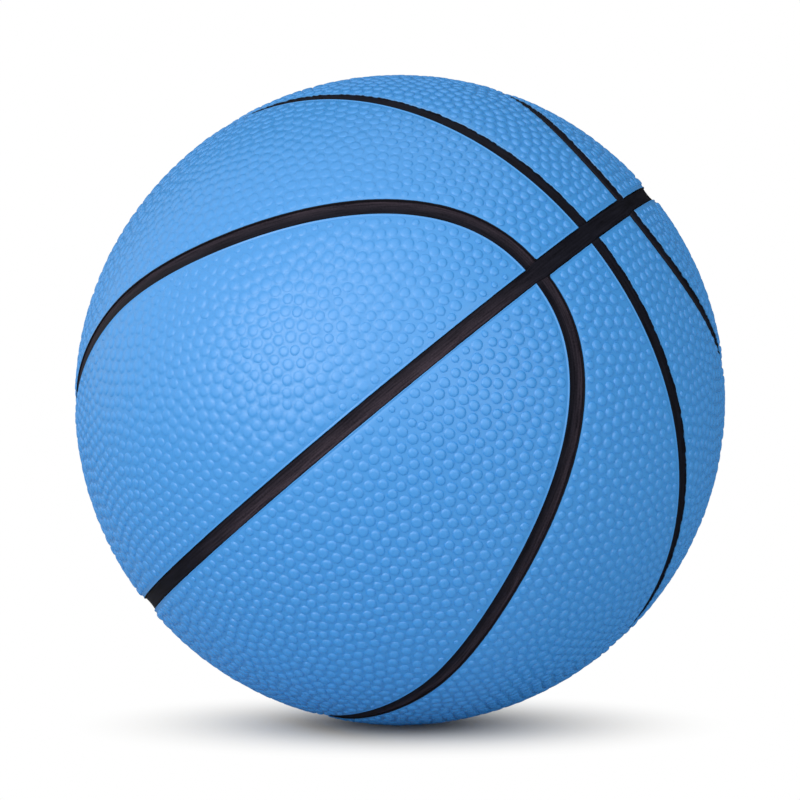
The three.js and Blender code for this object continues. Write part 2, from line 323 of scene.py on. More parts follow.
def shapePanel(outline, middle, paint, holes):
    sides, unpainted = panel["sides"], panel["unpainted"]
    spots, radii, rng = scatterPebbles(outline, middle, [(hole, valve["pad"][0][0]) for hole in holes])
    count = len(spots)
    rows = [outline(0) * ball["coverBack"]]
    rows += [outline(inset) * (ball["land"] + rise) for inset, rise in panel["edge"]]
    edgeRows, columns = len(rows), len(rows[0])
    inset = [0.0] + [pair[0] for pair in panel["edge"]]
    marks = {"pebble": [np.zeros(edgeRows * columns)], "margin": [(np.array(inset)[:, None] - paint).ravel()]}
    parts = [np.concatenate(rows)]

    # valve hole: its pad, then down to the back of the cover
    pads = []
    for hole in holes:
        ring = [(valve["pad"][-1][0], ball["coverBack"] - ball["land"])] + valve["pad"][::-1]
        pads.append(np.concatenate([
            around(hole[None], np.full((1, 1), radius), valve["padSides"], np.zeros(1))[0]
            * (ball["land"] + rise) for radius, rise in ring]))
    padRows = len(valve["pad"]) + 1
    parts += pads
    marks["pebble"] += [np.zeros(len(pad)) for pad in pads]
    marks["margin"] += [np.full(len(pad), unpainted) for pad in pads]

    # pebbles: rings from the foot up, then the middle of the top
    start = rng.uniform(0, 2 * pi, count)
    turn = start[:, None] + np.arange(sides) * 2 * pi / sides
    lobes = rng.uniform(0, 2 * pi, (2, count, 1))
    two, three = panel["lobes"]
    wobble = 1 + two * np.cos(2 * turn + lobes[0]) + three * np.cos(3 * turn + lobes[1])
    height = panel["pebbleHeight"] * rng.normal(1, panel["heightSpread"], count)[:, None, None]
    for share, rise in panel["profile"]:
        ring = around(spots, radii[:, None] * share * (1 + (wobble - 1) * share), sides, start)
        parts.append((ring * (ball["land"] + rise * height)).reshape(-1, 3))
        marks["pebble"].append(np.full(count * sides, rise))
        marks["margin"].append(np.full(count * sides, unpainted))
    parts.append(spots * (ball["land"] + height[:, 0]))
    marks["pebble"].append(np.ones(count))
    marks["margin"].append(np.full(count, unpainted))
    points = np.concatenate(parts)

    faces = bridge(points, 0, edgeRows, columns).tolist()
    firstPad = edgeRows * columns
    for k in range(len(holes)):
        padStart = firstPad + k * padRows * valve["padSides"]
        faces += bridge(points, padStart, padRows, valve["padSides"]).tolist()
    firstFoot = firstPad + len(holes) * padRows * valve["padSides"]
    feet = count * sides
    grid = np.arange(feet).reshape(count, sides)
    ahead = np.roll(grid, -1, 1)
    for k in range(len(panel["profile"]) - 1):
        low, high = firstFoot + k * feet, firstFoot + (k + 1) * feet
        quads = np.stack([low + grid, low + ahead, high + ahead, high + grid], -1).reshape(-1, 4)
        faces += faceOut(points, quads).tolist()
    top = firstFoot + len(panel["profile"]) * feet
    low = top - feet
    middles = np.repeat(top + np.arange(count), sides).reshape(count, sides)
    faces += faceOut(points, np.stack([low + grid, low + ahead, middles], -1).reshape(-1, 3)).tolist()

    # land between the edge, the pad and the feet of the pebbles
    edgeStart = (edgeRows - 1) * columns
    outlines = [outline(panel["edge"][-1][0])]
    sources = [np.arange(columns) + edgeStart]
    for k in range(len(holes)):
        last = firstPad + ((k + 1) * padRows - 1) * valve["padSides"]
        sources.append(np.arange(valve["padSides"]) + last)
        outlines.append(unit(points[sources[-1]]))
    held = sum(len(ring) for ring in outlines)
    foot = np.arange(feet) + firstFoot
    rims = np.stack([grid, ahead], -1).reshape(-1, 2)
    triangles = fillFace(outlines, unit(points[foot]), rims, middle)
    owner = (triangles - held) // sides
    inPebble = (triangles.min(1) >= held) & (owner[:, 0] == owner[:, 1]) & (owner[:, 1] == owner[:, 2])
    lookUp = np.concatenate(sources + [foot])
    faces += faceOut(points, lookUp[triangles[~inPebble]]).tolist()

    # back of the cover
    back = [unit(points[:columns])]
    sources = [np.arange(columns)]
    for k in range(len(holes)):
        sources.append(np.arange(valve["padSides"]) + firstPad + k * padRows * valve["padSides"])
        back.append(unit(points[sources[-1]]))
    inner = spots[::4]  # the back is plain, so a quarter of the pebbles' places do
    triangles = fillFace(back, inner, np.zeros((0, 2), int), middle)
    lookUp = np.concatenate(sources + [len(points) + np.arange(len(inner))])
    points = np.concatenate([points, inner * ball["coverBack"]])
    marks["pebble"].append(np.zeros(len(inner)))
    marks["margin"].append(np.full(len(inner), unpainted))
    faces += faceOut(points, lookUp[triangles], inward=True).tolist()
    return points, faces, {label: np.concatenate(values) for label, values in marks.items()}, count


# how worn the ball is at a point, 0 to 1
def wornShare(points):
    middle = unit(np.array(panel["wearMiddle"]) @ np.array(restTurn))
    away = np.degrees(np.arccos(np.clip(unit(points) @ middle, -1, 1)))
    fresh = np.clip((away - panel["wearFull"]) / (panel["wearNone"] - panel["wearFull"]), 0, 1)
    return 1 - ease(fresh)


def wearDown(points, raised):
    reach = np.linalg.norm(points, axis=1)
    kept = 1 - panel["wearDepth"] * wornShare(points)
    lower = np.where(raised > 0, ball["land"] + (reach - ball["land"]) * kept, reach)
    return points * (lower / reach)[:, None]


coverPieces = []
sideMiddle, centreMiddle = direction(1.08, pi / 2), direction(0.36, pi / 2)  # radians from the meridian
valveAtHome = valveAxis * np.array(quarters["right_upper"])  # the same panel in the left upper quarter
onLoop, onEquator = panel["paint"]["loop"], panel["paint"]["equator"]
sidePaint = np.r_[np.zeros(seams["loopSteps"] + 1), np.full(seams["equatorSteps"] - 1, onEquator)]
centrePaint = np.r_[np.zeros(seams["meridianSteps"] + 1), np.full(seams["endSteps"] - 1, onEquator),
                    np.full(seams["loopSteps"] + 1, onLoop), np.full(seams["endSteps"] - 1, onEquator)]
sideShape = shapePanel(sideOutline, sideMiddle, sidePaint, [])
centreShape = shapePanel(centreOutline, centreMiddle, centrePaint, [])
valveShape = shapePanel(centreOutline, centreMiddle, centrePaint, [valveAtHome])
for quarter, half in quarters.items():
    shapes = {"side": sideShape, "centre": valveShape if quarter == "right_upper" else centreShape}
    for kind, (points, faces, marks, count) in shapes.items():
        piece = addPiece(
            f"cover_{quarter}_{kind}", f"{quarter}_{kind}_panel",
            wearDown(points * half, marks["pebble"]), faces, marks)
        piece.select_set(True)
        bpy.context.view_layer.objects.active = piece
        bpy.ops.object.shade_smooth_by_angle(angle=radians(panel["crease"]))
        piece.select_set(False)
        coverPieces.append(piece)
        print("panel", quarter, kind, "with", count, "pebbles,", len(faces), "faces")

# The seam strips: a hollow black strip in each channel, one level with its neighbours where they cross
strip = {
    "edge": 1.49,  # half width, mm
    "crossingEdge": 1.84,
    "rim": -0.26,  # mm above the land, at the panel
    "floor": -0.40,  # along the middle
    "hollow": 1.5,  # mm from the panel to the floor
    "columns": 12,
    "equatorRows": 720,
    "endGap": 0.01,  # mm between a strip's end and the equator's strip
    # pale share on the middle line, which is dust, how much less at the edge where across is 1, which is
    # painted shade under the panel's edge there, and the most
    "loopDustAndShade": (0.24, 0.64, 0.8),
    "equatorDustAndShade": (0.65, 0.6, 1.0),
    "dustAndLightReach": 2.2,  # of the panels' wear: the equator's dust and painted light reach only round the worn front, which faces the left softbox
}
panelEdges = np.concatenate([
    ring(0) * half for ring in (sideOutline, centreOutline) for half in quarters.values()])
edgeTree = kdtree.KDTree(len(panelEdges))
for k, point in enumerate(panelEdges):
    edgeTree.insert(point, k)
edgeTree.balance()


def crossingHeight(swing):
    toLoop = (np.arcsin(np.abs(np.sin(swing))) * ball["radius"] - seams["loopNear"]) / seams["width"] + 0.5
    share = ease(np.clip(toLoop, 0, 1))
    return (strip["crossingEdge"] + (strip["edge"] - strip["crossingEdge"]) * share) / ball["radius"]


# rows of points run along the strip, columns across it
def shapeStrip(lanes, closed):
    rows, columns = lanes.shape[:2]
    far = np.array([edgeTree.find(point)[2] for point in lanes.reshape(-1, 3)]) * ball["radius"]
    hollow = (1 - np.minimum(far.reshape(rows, columns) / strip["hollow"], 1)) ** 2
    level = ball["land"] + strip["floor"] + (strip["rim"] - strip["floor"]) * hollow
    top = lanes * level[..., None]
    section = np.concatenate([lanes[:, :1] * ball["coverBack"], top, lanes[:, -1:] * ball["coverBack"]], 1)
    around = columns + 2
    index = np.arange(rows * around).reshape(rows, around)
    if closed:
        index = np.concatenate([index, index[:1]])
    beside = np.roll(index, -1, 1)
    quads = np.stack([index[:-1], beside[:-1], beside[1:], index[1:]], -1)
    points = section.reshape(-1, 3)
    a, b, c = (points[quads[0, columns // 2, k]] for k in range(3))
    turned = np.dot(np.cross(b - a, c - a), a) < 0
    faces = quads.reshape(-1, 4)
    ends = [] if closed else [index[0][::-1].tolist(), index[-1].tolist()]
    if turned:
        faces, ends = faces[:, ::-1], [end[::-1] for end in ends]
    steps = np.linalg.norm(np.diff(lanes[:, columns // 2], axis=0), axis=1)
    along = np.cumsum(np.r_[0, steps]) * ball["radius"]
    across = np.linspace(-1, 1, around)
    marks = {"along": np.repeat(along, around), "across": np.tile(across, rows)}
    return points, faces.tolist() + ends, marks


def seamLanes(line):
    lanes = []
    for share in np.linspace(-1, 1, strip["columns"] + 1):
        offset = share * strip["edge"] / ball["radius"]
        foot = line(offset, np.array([0.0]))[0]
        height = crossingHeight(np.arctan2(foot[0], foot[1])) + strip["endGap"] / ball["radius"]
        lanes.append(overTop(line, offset, height, seams["loopSteps"]))
    return np.stack(lanes, 1)


def equatorLanes():
    swing = np.linspace(0, 2 * pi, strip["equatorRows"], endpoint=False)
    return np.stack([aboveEquator(share * crossingHeight(swing), swing)
                     for share in np.linspace(-1, 1, strip["columns"] + 1)], 1)


# pale share across a strip: dust, with painted light on the side where across is -1 and painted shade on the
# side where it is 1
def dustAndShadeOn(across, middle, lean, most):
    return np.clip(middle - lean * across, 0, most)


stripPieces = []
points, faces, marks = shapeStrip(seamLanes(loopLine), False)
marks["paleShare"] = dustAndShadeOn(marks["across"], *strip["loopDustAndShade"])  # paler on the outer side, dust with painted light, and painted shade on the inner side
for quarter, half in quarters.items():
    stripPieces.append(addPiece(
        f"seam_{quarter}_loop", f"{quarter}_loop_seam_strip", points * half, faces, marks))
points, faces, marks = shapeStrip(seamLanes(meridianLine), False)
for level in ("upper", "lower"):
    half = quarters[f"left_{level}"]
    stripPieces.append(addPiece(
        f"seam_{level}_meridian", f"{level}_meridian_seam_strip", points * half, faces, marks))
points, faces, marks = shapeStrip(equatorLanes(), True)
marks["paleShare"] = dustAndShadeOn(marks["across"], *strip["equatorDustAndShade"])  # paler on the lower side, dust with painted light, and painted shade on the upper side
# painted light: the equator is paler towards the front upper left, where the left softbox falls, and darker
# away from it
marks["paleShare"] *= np.minimum(strip["dustAndLightReach"] * wornShare(points), 1)
stripPieces.append(addPiece("seam_equator", "equator_seam_strip", points, faces, marks))
print("seam strips:", len(stripPieces))

# The valve: a soft stem through every layer, and a plug pushed into it. Rings of radius and height
# along the valve axis, mm from the middle of the ball
valveWay = restTurn @ Vector(valveAxis)
stem = {
    "under": 59.9,  # radius of the flange's two faces
    "over": 60.9,
    "foot": [(1.75, 51.5), (3.0, 51.5), (3.5, 52.0), (3.5, 53.6), (3.74, 54.0), (3.5, 54.5), (3.5, 55.6),
             (3.74, 56.0), (3.5, 56.5)],
    "flange": [3.5, 5.5, 7.5, 9.2, 10.0],
    "neck": 4.0,
    "seat": [(4.0, 64.36), (3.86, 64.5), (2.48, 64.5), (2.35, 64.38), (2.35, 63.35), (1.75, 63.35),
             (1.75, 51.5)],
    "sides": 60,
    "softEdge": 0.06,
    "crease": 32,  # degrees
}
plug = {
    "shank": [(1.1, 54.0), (1.6, 54.5), (1.6, 56.0), (1.69, 56.3), (1.6, 56.6), (1.6, 58.2), (1.69, 58.5),
              (1.6, 58.8), (1.6, 60.4), (1.69, 60.7), (1.6, 61.0), (1.6, 63.5)],
    "head": [(2.2, 63.5), (2.2, 64.38), (2.08, 64.5), (1.84, 64.5), (1.76, 64.4), (1.52, 64.4), (1.44, 64.5),
             (1.1, 64.5)],
    "needleWay": [(0.6, 63.5), (0.6, 58.5)],
    "sides": 48,
    "softEdge": 0.05,
    "crease": 32,
}


# softens the edges, and turns a piece that was made upright to the valve's direction
def finish(piece, edge, corner):
    if edge:
        rounding = piece.modifiers.new("edges", "BEVEL")
        rounding.width, rounding.segments = edge * mm, 2
        rounding.limit_method, rounding.angle_limit = "ANGLE", radians(corner)
        bpy.ops.object.modifier_apply(modifier="edges")
    bpy.ops.object.shade_smooth_by_angle(angle=radians(corner))
    piece.rotation_mode = "QUATERNION"
    piece.rotation_quaternion = Vector((0, 0, 1)).rotation_difference(valveWay)
    bpy.ops.object.transform_apply(location=False, rotation=True, scale=False)
    return piece


def nameIt(name):
    piece = bpy.context.object
    piece.name = piece.data.name = name
    return piece


def turnRings(name, rings, sides, capped):
    bpy.ops.object.select_all(action="DESELECT")
    radius, height = rings[0]
    bpy.ops.mesh.primitive_circle_add(vertices=sides, radius=radius * mm, location=(0, 0, height * mm))
    piece = nameIt(name)
    bpy.ops.object.transform_apply(location=True)
    bpy.ops.object.mode_set(mode="EDIT")
    bpy.ops.mesh.select_mode(type="VERT")
    bpy.ops.mesh.select_all(action="SELECT")
    for wide, high in rings[1:]:
        bpy.ops.mesh.extrude_region_move(TRANSFORM_OT_translate={"value": (0, 0, (high - height) * mm)})
        bpy.ops.transform.resize(value=(wide / radius, wide / radius, 1), center_override=(0, 0, 0))
        radius, height = wide, high
    if capped:
        bpy.ops.mesh.edge_face_add()
        bpy.ops.mesh.select_all(action="DESELECT")
        bpy.ops.mesh.select_non_manifold()
        bpy.ops.mesh.edge_face_add()
    bpy.ops.mesh.select_all(action="SELECT")
    bpy.ops.mesh.remove_doubles(threshold=0.001 * mm)
    bpy.ops.mesh.normals_make_consistent(inside=False)
    bpy.ops.object.mode_set(mode="OBJECT")
    return piece


flange = [(wide, sqrt(stem["under"] ** 2 - wide ** 2)) for wide in stem["flange"]]
flange += [(wide, sqrt(stem["over"] ** 2 - wide ** 2)) for wide in stem["flange"][:0:-1] + [stem["neck"]]]
stemRings = stem["foot"] + flange + stem["seat"]
stemPiece = turnRings("valve_stem", stemRings, stem["sides"], False)
finish(stemPiece, stem["softEdge"], stem["crease"])
keepPiece(stemPiece, "valve_body")
plugRings = plug["shank"] + plug["head"] + plug["needleWay"]
plugPiece = turnRings("valve_push_plug", plugRings, plug["sides"], True)
finish(plugPiece, plug["softEdge"], plug["crease"])
keepPiece(plugPiece, "valve_plug", "valve_plug")
print("valve ready")

# The layers under the cover, from the bladder out, each open round the valve
layers = {
    "hole": 4.3,  # mm, radius
    "segments": 96,
    "rings": 48,
    "crease": 50,  # degrees
    "bladder": {"radius": 61.8, "wall": 0.6, "partingLine": 0.14, "lineWidth": 0.7},
    "winding": {"radius": 62.24, "wall": 0.14, "thread": 0.32, "low": 62.26, "high": 62.34, "turns": 54,
                "turnSides": 96, "threadSides": 6, "valveRoom": 0.09, "seed": 11},
    "carcass": {"radius": 63.4, "wall": 0.6, "joint": 0.3, "softEdge": 0.12, "crease": 40},
}


def hollowBall(name, radius, wall, low, high, line=0.0, lineWidth=0.0):
    bpy.ops.object.select_all(action="DESELECT")
    bpy.ops.mesh.primitive_uv_sphere_add(
        segments=layers["segments"], ring_count=layers["rings"], radius=radius * mm)
    piece = nameIt(name)
    bpy.ops.object.mode_set(mode="EDIT")
    bpy.ops.mesh.select_mode(type="EDGE")
    if line:  # the mould's parting line, raised round the middle
        for ring in ("wide", "top"):
            bpy.ops.mesh.select_all(action="DESELECT")
            bpy.ops.object.mode_set(mode="OBJECT")
            for edge in piece.data.edges:
                edge.select = all(abs(piece.data.vertices[k].co.z) < 1e-7 for k in edge.vertices)
            bpy.ops.object.mode_set(mode="EDIT")
            if ring == "wide":
                bpy.ops.mesh.bevel(offset=lineWidth / 2 * mm, segments=2, affect="EDGES")
            else:
                wider = 1 + line / radius
                bpy.ops.transform.resize(value=(wider, wider, 1), center_override=(0, 0, 0))
    for place, side in ((high, "clear_outer"), (low, "clear_inner")):
        if place is not None:
            bpy.ops.mesh.select_all(action="SELECT")
            bpy.ops.mesh.bisect(plane_co=(0, 0, place * mm), plane_no=(0, 0, 1), **{side: True})
    bpy.ops.object.mode_set(mode="OBJECT")
    skin = piece.modifiers.new("wall", "SOLIDIFY")
    skin.thickness, skin.offset = wall * mm, -1
    bpy.ops.object.modifier_apply(modifier="wall")
    return piece


def holePlane(radius):
    return sqrt(radius ** 2 - layers["hole"] ** 2)


part = layers["bladder"]
bladderPiece = finish(hollowBall("bladder", part["radius"], part["wall"], None, holePlane(part["radius"]),
                                 part["partingLine"], part["lineWidth"]), 0, layers["crease"])
keepPiece(bladderPiece, "air_bladder")

# winding: a close first layer, then single turns of thread laid over it in all directions
part = layers["winding"]
windingPiece = finish(hollowBall("winding", part["radius"], part["wall"], None, holePlane(part["radius"])),
                      0, layers["crease"])
rng = np.random.default_rng(part["seed"])
bpy.ops.object.select_all(action="DESELECT")
bpy.ops.mesh.primitive_torus_add(
    major_segments=part["turnSides"], minor_segments=part["threadSides"],
    major_radius=part["low"] * mm, minor_radius=part["thread"] / 2 * mm)
turnPiece = nameIt("winding_turn")
bpy.ops.object.shade_smooth()
turns = [turnPiece]
while len(turns) < part["turns"]:
    pole = Vector(unit(rng.normal(size=3)))
    if abs(pole.dot(valveWay)) < part["valveRoom"]:  # it would cross the valve
        continue
    copy = turnPiece.copy()
    copy.data = turnPiece.data.copy()
    bpy.context.collection.objects.link(copy)
    copy.rotation_mode = "QUATERNION"
    copy.rotation_quaternion = Vector((0, 0, 1)).rotation_difference(pole)
    copy.scale = [rng.uniform(1, part["high"] / part["low"])] * 3
    turns.append(copy)
for copy in turns:
    copy.select_set(True)
bpy.ops.object.transform_apply(location=False, rotation=True, scale=True)
windingPiece.select_set(True)
bpy.context.view_layer.objects.active = windingPiece
bpy.ops.object.join()
keepPiece(windingPiece, "thread_winding")

part = layers["carcass"]
carcassPieces = []
for half, low, high in (("valve_half", part["joint"] / 2, holePlane(part["radius"])),
                        ("far_half", None, -part["joint"] / 2)):
    shell = hollowBall("carcass_shell_" + half, part["radius"], part["wall"], low, high)
    carcassPieces.append(finish(shell, part["softEdge"], part["crease"]))
    keepPiece(carcassPieces[-1], "carcass_" + half)
print("inner layers ready")


# Materials. A noise's scale is one over the size of its blotches, noted at the line's end
def linear(code):
    channels = [int(code[k:k + 2], 16) / 255 for k in (1, 3, 5)]
    return [c / 12.92 if c <= 0.04045 else ((c + 0.055) / 1.055) ** 2.4 for c in channels] + [1.0]


def addNode(tree, kind, settings=(), links=(), stops=()):
    node = tree.nodes.new(kind)
    for name, value in dict(settings).items():
        if isinstance(name, str) and name in node.bl_rna.properties:
            setattr(node, name, value)
        else:
            node.inputs[name].default_value = value
    for name, socket in dict(links).items():
        tree.links.new(socket, node.inputs[name])
    for k, (place, colour) in enumerate(stops):
        stop = node.color_ramp.elements[k] if k < 2 else node.color_ramp.elements.new(place)
        stop.position, stop.color = place, colour
    return node


def newMaterial(name):
    material = bpy.data.materials.new(name)
    material.use_nodes = True
    material.node_tree.nodes.clear()
    return material, material.node_tree


# Moulded rubber cover, blue all through: the mould leaves a fine grain and a satin sheen, the tops of the
# pebbles are a little paler from handling and the land between them a little darker as painted shade, and the
# strips' black runs over the edges, ragged and without sheen
def coverRubber():
    material, tree = newMaterial("moulded_blue_rubber")
    where = {"Vector": addNode(tree, "ShaderNodeTexCoord").outputs["Object"]}
    rise = addNode(tree, "ShaderNodeAttribute", {"attribute_name": "pebble"})  # 0 to 1
    clouds = addNode(tree, "ShaderNodeTexNoise", {"Scale": 60.0, "Detail": 3.0}, where)  # 17 mm
    grain = addNode(tree, "ShaderNodeTexNoise", {"Scale": 4200.0, "Detail": 2.0}, where)  # 0.24 mm
    # paler pebble tops from wear, and darker land between the pebbles, which is painted shade
    lift = addNode(tree, "ShaderNodeMath", {"operation": "MULTIPLY_ADD", 1: 0.35},
                   {0: clouds.outputs["Fac"], 2: rise.outputs["Fac"]})
    colour = addNode(tree, "ShaderNodeValToRGB", {}, {"Fac": lift.outputs[0]},
                     [(0.10, linear("#2989d0")), (1.0, linear("#2c8bd3"))])
    margin = addNode(tree, "ShaderNodeAttribute", {"attribute_name": "margin"})  # mm from the black
    smear = addNode(tree, "ShaderNodeTexNoise", {"Scale": 900.0, "Detail": 2.0}, where)  # 1.1 mm
    ragged = addNode(tree, "ShaderNodeMath", {"operation": "MULTIPLY_ADD", 1: 0.16},
                     {0: smear.outputs["Fac"], 2: margin.outputs["Fac"]})
    clean = addNode(tree, "ShaderNodeMapRange", {"From Min": 0.11, "From Max": 0.15},
                    {"Value": ragged.outputs[0]})
    painted = addNode(tree, "ShaderNodeMix", {"data_type": "RGBA", 6: linear("#17151a")},
                      {0: clean.outputs["Result"], 7: colour.outputs["Color"]})
    rough = addNode(tree, "ShaderNodeMapRange",
                    {"From Min": 0.3, "From Max": 0.7, "To Min": 0.38, "To Max": 0.46},
                    {"Value": grain.outputs["Fac"]})
    bump = addNode(tree, "ShaderNodeBump", {"Strength": 0.12, "Distance": 0.00004},
                   {"Height": grain.outputs["Fac"]})
    sheen = addNode(tree, "ShaderNodeMapRange", {"To Min": 0.05, "To Max": 1.0},
                    {"Value": clean.outputs["Result"]})
    shader = addNode(tree, "ShaderNodeBsdfPrincipled", {},
                     {"Base Color": painted.outputs[2], "Roughness": rough.outputs["Result"],
                      "Specular IOR Level": sheen.outputs["Result"], "Normal": bump.outputs["Normal"]})
    return material, shader


# Black strip rubber laid into the channels: pulled through a die, which leaves fine lines along it,
# and dusty, most of all along the equator. Over the dust, painted light and shade: each strip is paler on
# one side and darker on the other, under the panel's edge, and the equator is paler towards the front upper
# left
def seamRubber():
    material, tree = newMaterial("black_strip_rubber")
    along = addNode(tree, "ShaderNodeAttribute", {"attribute_name": "along"})  # mm
    across = addNode(tree, "ShaderNodeAttribute", {"attribute_name": "across"})  # -1 to 1
    width = addNode(tree, "ShaderNodeMath", {"operation": "MULTIPLY", 1: strip["edge"]},
                    {0: across.outputs["Fac"]})
    lay = addNode(tree, "ShaderNodeCombineXYZ", {}, {"X": along.outputs["Fac"], "Y": width.outputs[0]})
    run = addNode(tree, "ShaderNodeVectorMath", {"operation": "MULTIPLY", 1: (0.12, 3.6, 1.0)},
                  {0: lay.outputs["Vector"]})  # lines 8 mm long and 0.28 mm wide
    streak = addNode(tree, "ShaderNodeTexNoise", {"Scale": 1.0, "Detail": 3.0, "Roughness": 0.6},
                     {"Vector": run.outputs["Vector"]})
    grain = addNode(tree, "ShaderNodeTexNoise", {"Scale": 3.0, "Detail": 2.0},
                    {"Vector": lay.outputs["Vector"]})  # 0.33 mm, as lay is in millimetres
    dusty = addNode(tree, "ShaderNodeMix", {"data_type": "FLOAT", 0: 0.3},
                    {2: streak.outputs["Fac"], 3: grain.outputs["Fac"]})
    fresh = addNode(tree, "ShaderNodeValToRGB", {}, {"Fac": dusty.outputs[0]},
                    [(0.34, linear("#08080e")), (0.64, linear("#1b1b24"))])
    # colours where the pale share is high: dust, and painted light on the lit side of a strip
    dustAndLight = addNode(tree, "ShaderNodeValToRGB", {}, {"Fac": dusty.outputs[0]},
                     [(0.34, linear("#15121a")), (0.64, linear("#40373f"))])
    # pale share painted on the strips: dust with painted light and shade
    paleShare = addNode(tree, "ShaderNodeAttribute", {"attribute_name": "paleShare"})
    colour = addNode(tree, "ShaderNodeMix", {"data_type": "RGBA"},
                     {0: paleShare.outputs["Fac"], 6: fresh.outputs["Color"], 7: dustAndLight.outputs["Color"]})
    bump = addNode(tree, "ShaderNodeBump", {"Strength": 0.3, "Distance": 0.00006},
                   {"Height": dusty.outputs[0]})
    shader = addNode(tree, "ShaderNodeBsdfPrincipled", {"Roughness": 0.55, "Specular IOR Level": 0.05},
                     {"Base Color": colour.outputs[2], "Normal": bump.outputs["Normal"]})
    return material, shader


# Butyl rubber bladder: black, moulded in two halves and dusted with talc so that it doesn't stick,
# which leaves pale clouds on a satin skin
def butylRubber():
    material, tree = newMaterial("talc_dusted_butyl_rubber")
    where = {"Vector": addNode(tree, "ShaderNodeTexCoord").outputs["Object"]}
    clouds = addNode(tree, "ShaderNodeTexNoise", {"Scale": 55.0, "Detail": 5.0}, where)  # 18 mm
    powder = addNode(tree, "ShaderNodeTexNoise", {"Scale": 3300.0, "Detail": 2.0}, where)  # 0.3 mm
    talc = addNode(tree, "ShaderNodeMath", {"operation": "MULTIPLY"},
                   {0: clouds.outputs["Fac"], 1: powder.outputs["Fac"]})
    colour = addNode(tree, "ShaderNodeValToRGB", {}, {"Fac": talc.outputs[0]},
                     [(0.18, linear("#1a1a1b")), (0.42, linear("#5a5855"))])
    rough = addNode(tree, "ShaderNodeMapRange",
                    {"From Min": 0.3, "From Max": 0.7, "To Min": 0.42, "To Max": 0.7},
                    {"Value": clouds.outputs["Fac"]})
    bump = addNode(tree, "ShaderNodeBump", {"Strength": 0.2, "Distance": 0.00003},
                   {"Height": powder.outputs["Fac"]})
    shader = addNode(tree, "ShaderNodeBsdfPrincipled", {"Specular IOR Level": 0.4},
                     {"Base Color": colour.outputs["Color"], "Roughness": rough.outputs["Result"],
                      "Normal": bump.outputs["Normal"]})
    return material, shader


# Nylon thread dipped in latex: off-white filament 0.3 mm thick, its lay seen as fine lines that cross
# in two directions, yellowed where the latex gathers
def nylonThread():
    material, tree = newMaterial("latex_dipped_nylon_thread")
    where = {"Vector": addNode(tree, "ShaderNodeTexCoord").outputs["Object"]}
    lay = [addNode(tree, "ShaderNodeTexWave", {"bands_direction": way, "Scale": 1000.0, "Distortion": 6.0,
                                               "Detail": 2.0}, where) for way in ("X", "DIAGONAL")]  # 0.3 mm
    cross = addNode(tree, "ShaderNodeMath", {"operation": "MAXIMUM"},
                    {0: lay[0].outputs["Fac"], 1: lay[1].outputs["Fac"]})
    latex = addNode(tree, "ShaderNodeTexNoise", {"Scale": 90.0, "Detail": 4.0}, where)  # 11 mm
    colour = addNode(tree, "ShaderNodeValToRGB", {}, {"Fac": latex.outputs["Fac"]},
                     [(0.35, linear("#d8cfb8")), (0.68, linear("#c1a977"))])
    rough = addNode(tree, "ShaderNodeMapRange",
                    {"From Min": 0.35, "From Max": 0.7, "To Min": 0.62, "To Max": 0.38},
                    {"Value": latex.outputs["Fac"]})
    bump = addNode(tree, "ShaderNodeBump", {"Strength": 0.5, "Distance": 0.00008},
                   {"Height": cross.outputs[0]})
    shader = addNode(tree, "ShaderNodeBsdfPrincipled", {"IOR": 1.53, "Sheen Weight": 0.15},
                     {"Base Color": colour.outputs["Color"], "Roughness": rough.outputs["Result"],
                      "Normal": bump.outputs["Normal"]})
    return material, shader


# Carcass rubber: a dark grey-brown shell, buffed all over so that the cover bonds to it, which leaves
# short scratches about 0.2 mm wide and no shine
def carcassRubber():
    material, tree = newMaterial("buffed_carcass_rubber")
    where = {"Vector": addNode(tree, "ShaderNodeTexCoord").outputs["Object"]}
    drawn = addNode(tree, "ShaderNodeMapping", {"Rotation": (0.4, 0.7, 0.2), "Scale": (1.0, 6.0, 6.0)}, where)
    scratch = addNode(tree, "ShaderNodeTexNoise", {"Scale": 700.0, "Detail": 3.0},
                      {"Vector": drawn.outputs["Vector"]})  # 1.4 mm long, a sixth as wide
    patches = addNode(tree, "ShaderNodeTexNoise", {"Scale": 80.0, "Detail": 3.0}, where)  # 12 mm
    paleShare = addNode(tree, "ShaderNodeMath", {"operation": "MULTIPLY"},
                   {0: scratch.outputs["Fac"], 1: patches.outputs["Fac"]})
    colour = addNode(tree, "ShaderNodeValToRGB", {}, {"Fac": paleShare.outputs[0]},
                     [(0.15, linear("#2c2926")), (0.4, linear("#57524b"))])
    rough = addNode(tree, "ShaderNodeMapRange",
                    {"From Min": 0.3, "From Max": 0.7, "To Min": 0.7, "To Max": 0.9},
                    {"Value": scratch.outputs["Fac"]})
    bump = addNode(tree, "ShaderNodeBump", {"Strength": 0.5, "Distance": 0.00006},
                   {"Height": scratch.outputs["Fac"]})
    shader = addNode(tree, "ShaderNodeBsdfPrincipled", {"Specular IOR Level": 0.3},
                     {"Base Color": colour.outputs["Color"], "Roughness": rough.outputs["Result"],
                      "Normal": bump.outputs["Normal"]})
    return material, shader


